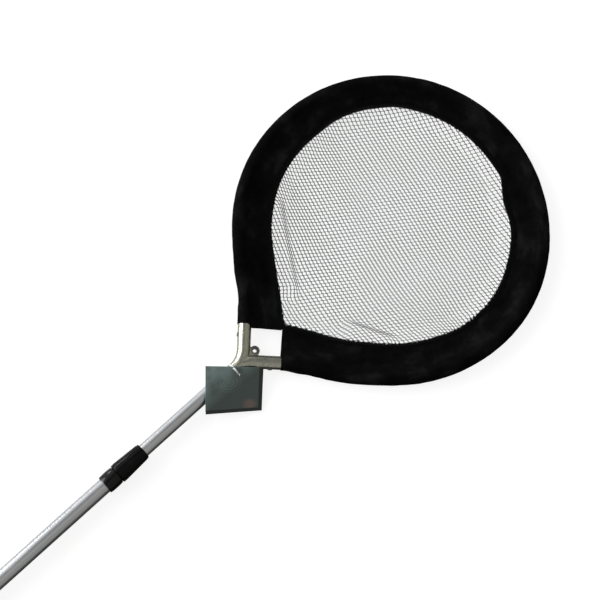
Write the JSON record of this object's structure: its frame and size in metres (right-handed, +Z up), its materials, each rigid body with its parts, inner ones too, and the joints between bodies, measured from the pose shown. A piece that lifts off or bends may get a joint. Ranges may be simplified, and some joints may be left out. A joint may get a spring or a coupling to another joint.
{
  "type": "koi pan net",
  "caption": "Round koi pan net: an aluminium hoop in a cloth sleeve holds a shallow knitted mesh, on a Y-shaped yoke and a telescopic pole with a twist lock and a swing tag.",
  "frame": {"origin": "on the floor that the net lies on, midway along its length, under the pole's axis", "axes": "+X along the pole from the butt to the hoop, +Y to the left of it, +Z up, square to the hoop"},
  "size_m": [1.8992, 0.6, 0.0479],
  "materials": {
    "hoop_tube": "mill",
    "yoke": "polished casting",
    "rivet": "satin",
    "pin": "satin",
    "net_sleeve": "coated woven cloth",
    "net_hem": "overlocked edge",
    "net_mesh": "knitted net",
    "pole": "drawn tube",
    "nylon": "moulded",
    "lock_body": "moulded",
    "lock_nut": "moulded, ribbed",
    "hand_grip": "foam",
    "end_cap": "moulded",
    "tag_card": "coated card",
    "tag_tie": "moulded"
  },
  "bodies": {
    "handle": {"outer_pole": "pole", "lock_body": "lock_body", "lock_pin": "pin", "hand_grip": "hand_grip", "end_cap": "end_cap"},
    "guide": {"guide_bush": "nylon"},
    "net_head": {"inner_pole": "pole", "yoke": "yoke", "stem_pin_upper": "pin", "stem_pin_lower": "pin", "hoop_tube": "hoop_tube", "hoop_rivet_left": "rivet", "hoop_rivet_right": "rivet", "net_sleeve": "net_sleeve", "net_hem": "net_hem", "net_floor": "net_mesh", "net_wall": "net_mesh"},
    "collet": {"lock_collet": "nylon"},
    "nut": {"lock_nut": "lock_nut"},
    "tag": {"tag_card": "tag_card", "tag_tie": "tag_tie"}
  },
  "joints": [
    {"name": "pole_slide", "type": "slide", "parent": "handle", "child": "guide", "axis": [1, 0, 0], "range_m": [-0.134, 0.7]},
    {"name": "pole_spin", "type": "hinge", "parent": "guide", "child": "net_head", "pos_m": [-0.7457, 0, 0.0192], "axis": [1, 0, 0], "continuous": true},
    {"name": "lock_advance", "type": "slide", "parent": "handle", "child": "collet", "axis": [1, 0, 0], "range_m": [0, 0.0038]},
    {"name": "nut_twist", "type": "hinge", "parent": "collet", "child": "nut", "pos_m": [0.0216, 0, 0.0192], "axis": [1, 0, 0], "range_deg": [0, 270]},
    {"name": "tag_swing", "type": "hinge", "parent": "net_head", "child": "tag", "pos_m": [0.2461, 0, 0.0192], "axis": [1, 0, 0], "continuous": true}
  ],
  "couplings": [
    {"joint": "lock_advance", "follows": "nut_twist", "m_per_rad": 0.00079577}
  ]
}
